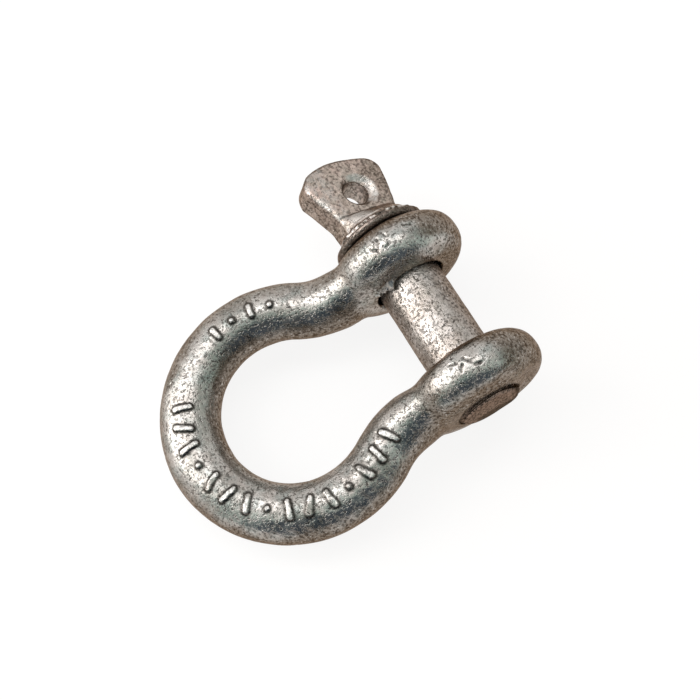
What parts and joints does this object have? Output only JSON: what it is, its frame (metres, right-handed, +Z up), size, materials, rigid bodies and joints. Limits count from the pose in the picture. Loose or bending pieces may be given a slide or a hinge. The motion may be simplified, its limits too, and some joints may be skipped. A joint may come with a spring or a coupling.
{
  "type": "bow shackle",
  "caption": "Screw-pin bow shackle for joining chain and rope: a forged galvanised bow closed by a removable pin with an eye head.",
  "frame": {"origin": "bottom centre of the shackle's box, on the bench that its ears and crown lie on", "axes": "+X along the pin towards its eye head, +Y from the pin towards the crown of the bow, +Z up"},
  "size_m": [0.0948, 0.104, 0.04],
  "materials": {
    "bow": "hot-dip galvanised, mottled satin grey",
    "pin_head": "hot-dip galvanised, warm matt grey",
    "pin_shank": "hot-dip galvanised, speckled bright grey",
    "pin_thread": "hot-dip galvanised, warm matt grey"
  },
  "bodies": {
    "bow": {"bow": "bow"},
    "pin_travels": {"pin_shank": "pin_shank"},
    "pin_turns": {"pin_head": "pin_head", "pin_thread": "pin_thread"}
  },
  "joints": [
    {"name": "pin_travel", "type": "slide", "parent": "bow", "child": "pin_travels", "axis": [1, 0, 0], "range_m": [0, 0.06096]},
    {"name": "pin_turn", "type": "hinge", "parent": "pin_travels", "child": "pin_turns", "pos_m": [-0.0101, -0.03205, 0.01998], "axis": [1, 0, 0], "range_deg": [0, 8641]}
  ],
  "couplings": [
    {"joint": "pin_turn", "follows": "pin_travel", "rad_per_m": 2473.7}
  ]
}
